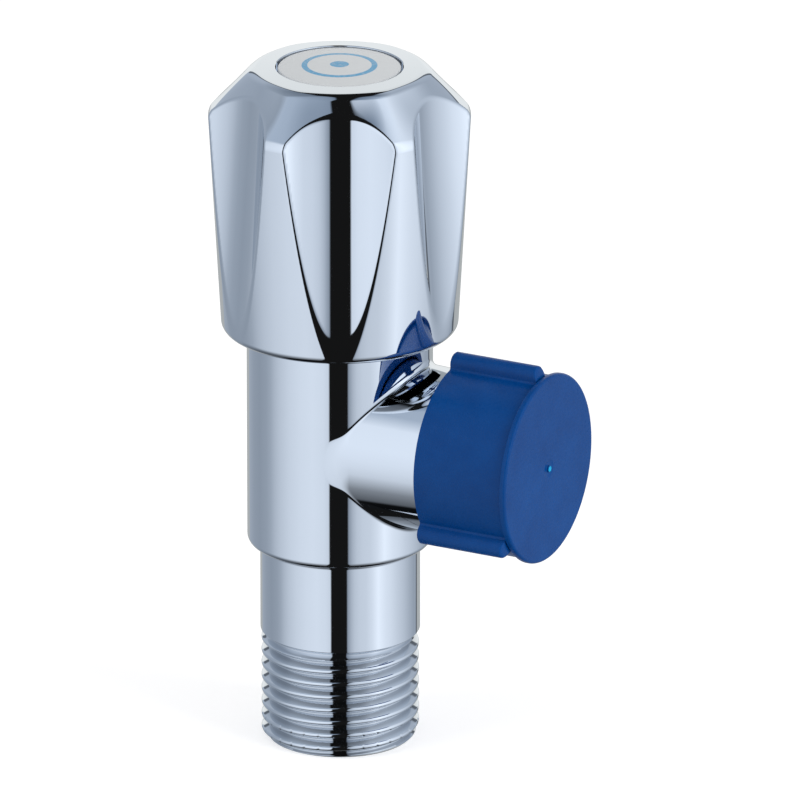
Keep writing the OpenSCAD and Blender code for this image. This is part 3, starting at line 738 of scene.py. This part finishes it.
def make_outlet_cap():
    skin = Skin()
    angles = add_cap_side(skin)
    shell = Skin()
    turned(shell, [(CAP_BORE_R, OUTLET_END - CAP_BORE_BAND), (CAP_BORE_R, CAP_MOUTH + CAP_BORE_CHAMFER),
                   (CAP_BORE_R + CAP_BORE_CHAMFER, CAP_MOUTH)], angles)
    turned(shell, [(0, OUTLET_END), (CAP_BORE_R, OUTLET_END, CAP_BORE_EDGE),
                   (CAP_BORE_R, OUTLET_END - CAP_BORE_BAND)], angles)
    turned(shell, [(CAP_R, CAP_LIP_Z - CAP_LIP_GAP), (CAP_R, CAP_LIP_Z, CAP_LIP_ROOT),
                   (CAP_END_R, CAP_LIP_Z, CAP_LIP_EDGE), (CAP_END_R, CAP_FACE, CAP_END_EDGE),
                   (CAP_DISH_R, CAP_FACE)], angles)
    dish_z, gate_z = CAP_FACE - CAP_DISH_DEPTH, CAP_FACE + CAP_GATE_H
    turned(shell, [(CAP_DISH_R, CAP_FACE), (CAP_DISH_FLOOR_R, dish_z, CAP_DISH_EDGE),
                   (CAP_GATE_R, dish_z, CAP_GATE_ROOT), (CAP_GATE_R, gate_z, CAP_GATE_EDGE),
                   (0, gate_z)], angles)
    for points, normals in shell.groups:
        skin.add(at_outlet(points), along_outlet(normals))
    return skin.mesh("outlet_cap_skin")


def make_index_button():
    skin = Skin()
    angles = turn(STEPS // 2)
    dome_r = (BUTTON_R ** 2 + BUTTON_DOME ** 2) / (2 * BUTTON_DOME)
    reach = np.linspace(math.asin((BUTTON_R - BUTTON_EDGE) / dome_r), 0, DOME_STEPS + 1)
    line = np.stack([dome_r * np.sin(reach), BUTTON_RIM_Z + BUTTON_DOME - dome_r * (1 - np.cos(reach))], -1)
    normals = np.stack([np.sin(reach), np.cos(reach)], -1)
    skin.grid(spin(line, angles), spin(normals, angles))
    bow = np.linspace(0, math.pi / 2 - reach[0], BUTTON_EDGE_STEPS + 1)
    side = np.stack([np.cos(bow), np.sin(bow)], -1)
    centre = line[0] - BUTTON_EDGE * normals[0]
    skin.grid(spin(centre + BUTTON_EDGE * side, angles), spin(side, angles))
    bore_top = PLUG_Z + PLUG_BORE_H
    turned(skin, [(0, bore_top), (PLUG_BORE_R, bore_top, PLUG_EDGE), (PLUG_BORE_R, PLUG_Z), (PLUG_R, PLUG_Z),
                  (PLUG_R, RECESS_Z), (BUTTON_R - BUTTON_FOOT, RECESS_Z), (BUTTON_R, RECESS_Z + BUTTON_FOOT),
                  (centre[0] + BUTTON_EDGE, centre[1])], angles)
    return skin.mesh("index_button_skin")


# Materials

def material(name):
    """A new material with its node tree and its shader, whose sockets are still plain."""
    made = bpy.data.materials.new(name)
    made.use_nodes = True
    nodes = made.node_tree.nodes
    return made, made.node_tree, nodes["Principled BSDF"]


def node(tree, kind, inputs=None, **settings):
    """Adds a node, with its settings, and with its inputs set to values or linked to sockets."""
    made = tree.nodes.new(kind)
    for key, value in settings.items():
        setattr(made, key, value)
    for key, value in (inputs or {}).items():
        if isinstance(value, bpy.types.NodeSocket):
            tree.links.new(value, made.inputs[key])
        else:
            made.inputs[key].default_value = value
    return made


def place_on(tree):
    return node(tree, "ShaderNodeTexCoord").outputs["Object"]


def noise(tree, scale, detail=2.0, rough=0.5, stretch=None):
    """Noise with a feature size in millimetres, from 0 to 1."""
    place = place_on(tree)
    if stretch:
        place = node(tree, "ShaderNodeMapping", {"Vector": place, "Scale": stretch}).outputs[0]
    return node(tree, "ShaderNodeTexNoise", {"Vector": place, "Scale": 1000 / scale, "Detail": detail,
                                             "Roughness": rough}).outputs["Fac"]


def spread(tree, value, low, high, start=0.0, end=1.0):
    """Maps a value from start-end to low-high."""
    return node(tree, "ShaderNodeMapRange", {"Value": value, "From Min": start, "From Max": end,
                                             "To Min": low, "To Max": high}).outputs[0]


def mix(tree, part, first, second):
    made = node(tree, "ShaderNodeMix", {"Factor": part}, data_type="RGBA")
    for socket, colour in ((made.inputs[6], first), (made.inputs[7], second)):
        if isinstance(colour, bpy.types.NodeSocket):
            tree.links.new(colour, socket)
        else:
            socket.default_value = (*colour, 1)
    return made.outputs[2]


def bump(tree, height, depth):
    """A bump whose height of 1 stands depth millimetres high."""
    return node(tree, "ShaderNodeBump", {"Height": height, "Distance": depth * MM}).outputs[0]


def surface(tree, shader, colour, roughness, normal=None):
    """Feeds a shader with its colour, its roughness and its normal, if it has one."""
    tree.links.new(colour, shader.inputs["Base Color"])
    tree.links.new(roughness, shader.inputs["Roughness"])
    if normal:
        tree.links.new(normal, shader.inputs["Normal"])


CHROME = (0.86, 0.895, 0.94)
# Painted shade on the chrome down in a thread: its tone, the depths at which that begins and is full, and how
# far from the thread's root it begins, over what length
GROOVE_SHADE_TONE = 0.8
GROOVE_FROM = 0.2
GROOVE_FULL = 0.75
GROOVE_START = 0.6
GROOVE_FADE = 0.2
# The ink of the button's ring and dot
INK_RING_R = 4.6
INK_RING_HALF_W = 0.38
INK_DOT_R = 1.25
INK_SOFT = 0.04
INK_Z = WHEEL_TOP - 1.2
# A painted highlight on the tip of the gate in the middle of the cap
TIP_HIGHLIGHT_R = 0.3
TIP_HIGHLIGHT_SOFT = 0.15


def groove_shade_mask(tree, across, along, start):
    """Where shade is painted on: 1 deep in a thread's grooves and 0 at its crests, from start onwards along
    its axis.
    """
    flat = node(tree, "ShaderNodeCombineXYZ", dict(enumerate(across))).outputs[0]
    reach = node(tree, "ShaderNodeVectorMath", {0: flat}, operation="LENGTH").outputs["Value"]
    deep = spread(tree, reach, 1, 0, (THREAD_R - GROOVE_FULL) * MM, (THREAD_R - GROOVE_FROM) * MM)
    on_thread = spread(tree, along, 0, 1, start * MM, (start + GROOVE_FADE) * MM)
    return node(tree, "ShaderNodeMath", {0: deep, 1: on_thread}, operation="MULTIPLY").outputs[0]


def body_chrome():
    """The valve body's chrome, with painted shade that darkens it down in the grooves of its threads."""
    made, tree, shader = chrome("chrome_body")
    x, y, z = node(tree, "ShaderNodeSeparateXYZ", {0: place_on(tree)}).outputs
    down = node(tree, "ShaderNodeMath", {0: z, 1: -1}, operation="MULTIPLY").outputs[0]
    up = node(tree, "ShaderNodeMath", {0: z, 1: OUTLET_Z * MM}, operation="SUBTRACT").outputs[0]
    # Painted shade: a mask of how deep a point lies in the grooves of either thread
    grooves = node(tree, "ShaderNodeMath",
                   {0: groove_shade_mask(tree, (x, y), down, GROOVE_START - THREAD_TOP),
                    1: groove_shade_mask(tree, (y, up), x, GROOVE_START + BOSS_REACH)}, operation="MAXIMUM")
    plain = shader.inputs["Base Color"].links[0].from_socket
    # Painted shade: the base colour darkens towards the groove's tone deep in the grooves
    groove_shaded = mix(tree, grooves.outputs[0], plain, tuple(GROOVE_SHADE_TONE * part for part in CHROME))
    tree.links.new(groove_shaded, shader.inputs["Base Color"])
    return made


def chrome(name):
    made, tree, shader = material(name)
    shader.inputs["Metallic"].default_value = 1
    haze = noise(tree, 9, 4, 0.6)
    dulled = tuple(0.97 * part for part in CHROME)
    surface(tree, shader, mix(tree, haze, CHROME, dulled), spread(tree, haze, 0.015, 0.05, 0.3, 0.8),
            bump(tree, noise(tree, 6, 1), 0.004))
    return made, tree, shader


def brass():
    made, tree, shader = material("turned_brass")
    shader.inputs["Metallic"].default_value = 1
    lines = noise(tree, 0.5, 3, 0.6, stretch=(0.05, 0.05, 1))
    patina = noise(tree, 5, 4, 0.6)
    surface(tree, shader, mix(tree, patina, (0.80, 0.62, 0.30), (0.62, 0.46, 0.21)),
            spread(tree, lines, 0.16, 0.38), bump(tree, lines, 0.01))
    return made


def rubber():
    made, tree, shader = material("black_rubber")
    dust = noise(tree, 1.2, 5, 0.65)
    surface(tree, shader, mix(tree, dust, (0.018, 0.018, 0.02), (0.045, 0.045, 0.05)),
            spread(tree, dust, 0.42, 0.62), bump(tree, noise(tree, 0.15), 0.01))
    return made


def ceramic():
    made, tree, shader = material("lapped_ceramic")
    grain = noise(tree, 0.3, 3, 0.6)
    surface(tree, shader, mix(tree, grain, (0.84, 0.82, 0.78), (0.90, 0.88, 0.85)),
            spread(tree, grain, 0.16, 0.3))
    return made


def steel():
    made, tree, shader = material("stainless_steel")
    shader.inputs["Metallic"].default_value = 1
    lines = noise(tree, 0.3, 3, 0.6, stretch=(1, 1, 0.1))
    surface(tree, shader, mix(tree, lines, (0.58, 0.59, 0.61), (0.68, 0.69, 0.71)),
            spread(tree, lines, 0.2, 0.36))
    return made


def white_plastic():
    made, tree, shader = material("white_plastic")
    grain = noise(tree, 0.4, 3, 0.6)
    surface(tree, shader, mix(tree, grain, (0.80, 0.81, 0.82), (0.86, 0.87, 0.88)),
            spread(tree, grain, 0.32, 0.45), bump(tree, grain, 0.01))
    return made


def button():
    """White plastic with a plain ring and a dot printed on its top."""
    made, tree, shader = material("printed_button")
    place = place_on(tree)
    parts = node(tree, "ShaderNodeSeparateXYZ", {0: place}).outputs
    flat = node(tree, "ShaderNodeCombineXYZ", {0: parts[0], 1: parts[1]}).outputs[0]
    reach = node(tree, "ShaderNodeVectorMath", {0: flat}, operation="LENGTH").outputs["Value"]
    ring_half, dot_r, soft = INK_RING_HALF_W * MM, INK_DOT_R * MM, INK_SOFT * MM
    off_ring = node(tree, "ShaderNodeMath", {0: reach, 1: INK_RING_R * MM}, operation="SUBTRACT").outputs[0]
    off_ring = node(tree, "ShaderNodeMath", {0: off_ring}, operation="ABSOLUTE").outputs[0]
    ring = spread(tree, off_ring, 1, 0, ring_half - soft, ring_half + soft)
    dot = spread(tree, reach, 1, 0, dot_r - soft, dot_r + soft)
    ink = node(tree, "ShaderNodeMath", {0: ring, 1: dot}, operation="MAXIMUM").outputs[0]
    top = spread(tree, parts[2], 0, 1, INK_Z * MM, (INK_Z + 0.1) * MM)
    ink = node(tree, "ShaderNodeMath", {0: ink, 1: top}, operation="MULTIPLY").outputs[0]
    wear = spread(tree, noise(tree, 0.6, 4, 0.7), 0.75, 1, 0.35, 0.5)
    ink = node(tree, "ShaderNodeMath", {0: ink, 1: wear}, operation="MULTIPLY").outputs[0]
    grain = noise(tree, 2, 3, 0.6)
    white = mix(tree, grain, (0.76, 0.79, 0.82), (0.80, 0.83, 0.855))
    surface(tree, shader, mix(tree, ink, white, (0.07, 0.38, 0.68)),
            spread(tree, grain, 0.2, 0.28), bump(tree, grain, 0.01))
    return made


def blue_plastic():
    made, tree, shader = material("blue_plastic")
    cloud = noise(tree, 7, 4, 0.6)
    grain = noise(tree, 0.22, 3, 0.7)
    pits = noise(tree, 0.6, 2, 0.6)
    colour = mix(tree, spread(tree, cloud, 0, 1, 0.3, 0.7), (0.000, 0.056, 0.255), (0.001, 0.074, 0.315))
    middle = (CAP_HIGH[0] * MM, 0, OUTLET_Z * MM)
    off_middle = node(tree, "ShaderNodeVectorMath", {0: place_on(tree), 1: middle}, operation="DISTANCE")
    # Painted highlight: a lighter blue spot on the tip of the gate
    tip = spread(tree, off_middle.outputs["Value"], 1, 0, TIP_HIGHLIGHT_R * MM, (TIP_HIGHLIGHT_R + TIP_HIGHLIGHT_SOFT) * MM)
    shader.inputs["Specular IOR Level"].default_value = 0.2
    stipple = node(tree, "ShaderNodeMath", {0: grain, 1: pits}, operation="ADD").outputs[0]
    surface(tree, shader, mix(tree, tip, colour, (0.0, 0.50, 0.90)),
            spread(tree, pits, 0.22, 0.36, 0.3, 0.7), bump(tree, stipple, 0.01))
    return made


MATERIALS = {
    "chrome_body": body_chrome(),
    "chrome_wheel": chrome("chrome_wheel")[0],
    "brass": brass(),
    "rubber": rubber(),
    "white_plastic": white_plastic(),
    "ceramic": ceramic(),
    "steel": steel(),
    "button": button(),
    "blue_plastic": blue_plastic(),
}

BODY_OF = {name: body for body, names in frame["record"]["behaviour"]["bodies"].items() for name in names}


def dress(name, mesh, replaced, slot):
    """Shows a modelled mesh in place of a node, on the same body and with its slot's material."""
    piece = bpy.data.objects.new(name, mesh)
    bpy.context.scene.collection.objects.link(piece)
    mesh.materials.append(MATERIALS[slot])
    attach(piece, BODY_OF[replaced])
    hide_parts(replaced)


def make_pieces():
    dress("valve_body_chromed", make_valve_body(), "valve_body", "chrome_body")
    dress("handwheel_chromed", make_handwheel(), "handwheel", "chrome_wheel")
    dress("index_button_printed", make_index_button(), "index_button", "button")
    dress("outlet_cap_moulded", make_outlet_cap(), "outlet_cap", "blue_plastic")
    for part in frame["record"]["subparts"]:
        own = frame["nodes"][part["node"]]
        own.data.materials.clear()
        own.data.materials.append(MATERIALS[part["material_slot"]])


# Studio

CAMERA_TURN = math.radians(27.6)
CAMERA_RISE = math.radians(19.9)
CAMERA_AWAY = 1.981
CAMERA_LENS = 675
TARGET_RIGHT = 7.93
TARGET_Z = 46.9
TARGET = Vector((TARGET_RIGHT * math.cos(CAMERA_TURN), TARGET_RIGHT * math.sin(CAMERA_TURN), TARGET_Z)) * MM
TO_CAMERA = Vector((math.sin(CAMERA_TURN) * math.cos(CAMERA_RISE),
                    -math.cos(CAMERA_TURN) * math.cos(CAMERA_RISE), math.sin(CAMERA_RISE)))


def make_camera():
    data = bpy.data.cameras.new("camera")
    data.lens = CAMERA_LENS
    data.sensor_width = 36
    data.clip_end = 20
    camera = bpy.data.objects.new("camera", data)
    camera.location = TARGET + TO_CAMERA * CAMERA_AWAY
    camera.rotation_euler = (-TO_CAMERA).to_track_quat("-Z", "Y").to_euler()
    bpy.context.scene.collection.objects.link(camera)
    bpy.context.scene.camera = camera


def grey(level):
    """Linear brightness of a display level from 0 to 255."""
    part = level / 255
    return part / 12.92 if part <= 0.04045 else ((part + 0.055) / 1.055) ** 2.4


def ramp(tree, value, stops, low, high, tint=(0, 0, 0), tone=(1, 1, 1)):
    """The colour at value of a curve through (place, level) stops between low and high.

    A level is what polished metal of that tone shows, from 0 to 255, and tint is added to it.
    """
    made = node(tree, "ShaderNodeValToRGB", {0: spread(tree, value, 0, 1, low, high)})
    elements = made.color_ramp.elements
    elements.remove(elements[0])
    for i, (place, level) in enumerate(stops):
        part = (place - low) / (high - low)
        element = elements.new(part) if i else elements[0]
        element.position = part
        element.color = (*(grey(level + more) / own for more, own in zip(tint, tone)), 1)
    return made.outputs[0]


# The studio as the chrome shows it. Angles are in degrees, and those round the studio run from the
# camera to its right. The walls are read by that angle, and higher up by the angle to the side.
WALLS = [(-180, 150), (-150, 149), (-134, 138), (-118, 134), (-104, 141), (-96, 151), (-88, 168), (-80, 180),
         (-66, 194), (-50, 203), (-34, 207), (-20, 203), (-12, 192), (9, 118), (12, 138), (16, 164),
         (21, 181), (28, 190), (38, 194), (47, 206), (57, 226), (64, 218), (70, 211), (78, 205), (90, 192),
         (106, 176), (120, 158), (134, 142), (150, 150), (180, 150)]
WALL_TINT = (0, 12, 28)
UPPER_WALLS = [(-90, 165), (-44, 163), (-30, 158), (-20, 147), (-12, 134), (-6, 123), (-3, 105), (9, 95),
               (12, 112), (16, 134), (22, 156), (30, 180), (38, 193), (48, 199), (90, 190)]
UPPER_TINT = (0, 16, 37)
UPPER_FROM, UPPER_TO, UPPER_LEFT_DROP = 52, 68, 18
# How the walls change with height, as levels of which one leaves them as they are
HEIGHT_PLAIN = 225
HEIGHTS = [(-90, 22), (-64, 22), (-62, 110), (-50, 142), (-31, 216), (-21, 227), (-11, 234), (5, 240),
           (90, 240)]
# A white sheet behind the object narrows towards its top, with a dark gap on its right, and on its
# left too from some height on
SHEET = [(-90, 150), (-25, 160), (-13, 172), (-5, 220), (10, 226), (25, 217), (45, 207), (90, 207)]
SHEET_TINT = (0, 6, 10)
SHEET_HALF = [(8, 30), (15, 23), (25, 18), (37, 17), (45, 15)]
SHEET_MIDDLE = 3
SHEET_TOP = 48
GAP_W = 5
GAP_LEFT_FROM = 15
GAP_SHADE = 0.3
# A black strip runs up in front of the object and over it, and ends above the sheet
STRIP_RIGHT = 9.5
STRIP_LEFT = -12.3
STRIP_LEFT_TOP = -2.5
STRIP_NARROW_FROM, STRIP_NARROW_TO = 40, 75
STRIP_START = -110
STRIP_LEVEL = 22
# Past the zenith the strip is wider and the walls are darker
BEYOND_FROM, BEYOND_TO = 94, 106
STRIP_SPREAD = 6
BEYOND_SHADE = 0.4
# What lights the matt pieces, and how much the floor glows towards the camera so that it shows white
WORLD_LEVEL = 0.46
FLOOR_LIFT = 0.55
FLOOR_HALF = 3.0
# Soft lamps, each with its place and its size in metres and its watts
LAMPS = {"key_lamp": ((-0.45, -0.6, 0.9), 0.5, 2.0), "fill_lamp": ((1.1, -0.15, 0.45), 0.6, 6.0)}
LAMP_TARGET = Vector((0, 0, 0.04))


def make_world():
    world = bpy.data.worlds.new("studio")
    bpy.context.scene.world = world
    world.use_nodes = True
    tree = world.node_tree
    tree.nodes.clear()

    def sum_up(kind, *values):
        """The outcome of a sum of the given kind."""
        return node(tree, "ShaderNodeMath", dict(enumerate(values)), operation=kind).outputs[0]

    def degrees(kind, *values):
        return sum_up("DEGREES", sum_up(kind, *values))

    def past(value, edge, soft=0.8):
        """0 where a value is under an edge, and 1 where it is over."""
        value = sum_up("SUBTRACT", value, edge)
        return spread(tree, value, 0, 1, -soft, soft)

    way = node(tree, "ShaderNodeTexCoord").outputs["Generated"]
    way = node(tree, "ShaderNodeVectorRotate", {"Vector": way, "Angle": -CAMERA_TURN}, rotation_type="Z_AXIS")
    x, away, z = node(tree, "ShaderNodeSeparateXYZ", {0: way.outputs[0]}).outputs
    toward = sum_up("MULTIPLY", away, -1.0)
    height, sideways = degrees("ARCSINE", z), degrees("ARCSINE", x)
    over_top = degrees("ARCTAN2", z, toward)

    walls = ramp(tree, degrees("ARCTAN2", x, toward), WALLS, -180, 180, WALL_TINT, CHROME)
    by_height = ramp(tree, height, HEIGHTS, -90, 90, tone=[grey(HEIGHT_PLAIN)] * 3)
    walls = node(tree, "ShaderNodeVectorMath", {0: walls, 1: by_height}, operation="MULTIPLY").outputs[0]
    upper = ramp(tree, sideways, UPPER_WALLS, -90, 90, UPPER_TINT, CHROME)
    beyond = spread(tree, over_top, 0, 1, BEYOND_FROM, BEYOND_TO)
    upper = mix(tree, sum_up("MULTIPLY", beyond, BEYOND_SHADE), upper, (0, 0, 0))
    drop = spread(tree, x, UPPER_LEFT_DROP, 0, -0.02, 0.02)
    rise = spread(tree, sum_up("ADD", height, drop), 0, 1, UPPER_FROM, UPPER_TO)
    seen = mix(tree, rise, walls, upper)

    behind = sum_up("SUBTRACT", degrees("ARCTAN2", x, away), SHEET_MIDDLE)
    half = SHEET_HALF[0][1]
    for (low, wide), (high, narrow) in zip(SHEET_HALF, SHEET_HALF[1:]):
        half = sum_up("SUBTRACT", half, spread(tree, height, 0, wide - narrow, low, high))
    outside = sum_up("SUBTRACT", sum_up("ABSOLUTE", behind), half)
    has_gap = sum_up("MAXIMUM", past(behind, 0), past(height, GAP_LEFT_FROM))
    gap = sum_up("MULTIPLY", has_gap, sum_up("SUBTRACT", 1, past(outside, GAP_W)))
    seen = mix(tree, sum_up("MULTIPLY", gap, 1 - GAP_SHADE), seen, (0, 0, 0))
    sheet = ramp(tree, height, SHEET, -90, 90, SHEET_TINT, CHROME)
    under_top = sum_up("SUBTRACT", 1, past(height, SHEET_TOP))
    inside = sum_up("SUBTRACT", 1, past(outside, 0))
    seen = mix(tree, sum_up("MULTIPLY", inside, under_top), seen, sheet)

    left_edge = spread(tree, over_top, STRIP_LEFT, STRIP_LEFT_TOP, STRIP_NARROW_FROM, STRIP_NARROW_TO)
    left_edge = sum_up("SUBTRACT", left_edge, sum_up("MULTIPLY", beyond, STRIP_SPREAD))
    right_edge = spread(tree, beyond, STRIP_RIGHT, STRIP_RIGHT + STRIP_SPREAD / 2)
    before_right = sum_up("SUBTRACT", 1, past(sideways, right_edge))
    across = sum_up("MULTIPLY", past(sideways, left_edge), before_right)
    before_sheet = sum_up("SUBTRACT", 1, past(over_top, 180 - SHEET_TOP))
    along = sum_up("MULTIPLY", past(over_top, STRIP_START), before_sheet)
    seen = mix(tree, sum_up("MULTIPLY", across, along), seen, (grey(STRIP_LEVEL),) * 3)

    path = node(tree, "ShaderNodeLightPath").outputs
    mirror = sum_up("MAXIMUM", path["Is Glossy Ray"], path["Is Transmission Ray"])
    colour = mix(tree, mirror, (WORLD_LEVEL,) * 3, seen)
    colour = mix(tree, path["Is Camera Ray"], colour, (1, 1, 1))
    background = node(tree, "ShaderNodeBackground", {"Color": colour})
    output = node(tree, "ShaderNodeOutputWorld")
    tree.links.new(background.outputs[0], output.inputs[0])


def make_lamps():
    """Lamps that give form and a shadow, and that polished metal doesn't mirror."""
    for name, (place, size, watts) in LAMPS.items():
        data = bpy.data.lights.new(name, "AREA")
        data.size = size
        data.energy = watts
        lamp = bpy.data.objects.new(name, data)
        lamp.location = place
        lamp.rotation_euler = (Vector(place) - LAMP_TARGET).to_track_quat("Z", "Y").to_euler()
        lamp.visible_glossy = False
        bpy.context.scene.collection.objects.link(lamp)


def make_floor():
    corners = [(x * FLOOR_HALF, y * FLOOR_HALF, 0) for x, y in ((-1, -1), (1, -1), (1, 1), (-1, 1))]
    mesh = bpy.data.meshes.new("floor")
    mesh.from_pydata(corners, [], [(0, 1, 2, 3)])
    made, tree, shader = material("pale_floor")
    speck = noise(tree, 60, 2)
    tree.links.new(mix(tree, speck, (0.80, 0.80, 0.81), (0.82, 0.82, 0.83)), shader.inputs["Base Color"])
    shader.inputs["Roughness"].default_value = 0.9
    shader.inputs["Specular IOR Level"].default_value = 0.0
    path = node(tree, "ShaderNodeLightPath").outputs
    lift = node(tree, "ShaderNodeMath", {0: path["Is Camera Ray"], 1: FLOOR_LIFT}, operation="MULTIPLY")
    shader.inputs["Emission Color"].default_value = (1, 1, 1, 1)
    tree.links.new(lift.outputs[0], shader.inputs["Emission Strength"])
    mesh.materials.append(made)
    floor = bpy.data.objects.new("floor", mesh)
    floor.visible_glossy = False
    bpy.context.scene.collection.objects.link(floor)


make_camera()
make_pieces()
make_world()
make_lamps()
make_floor()
bpy.context.scene.view_settings.view_transform = "Standard"
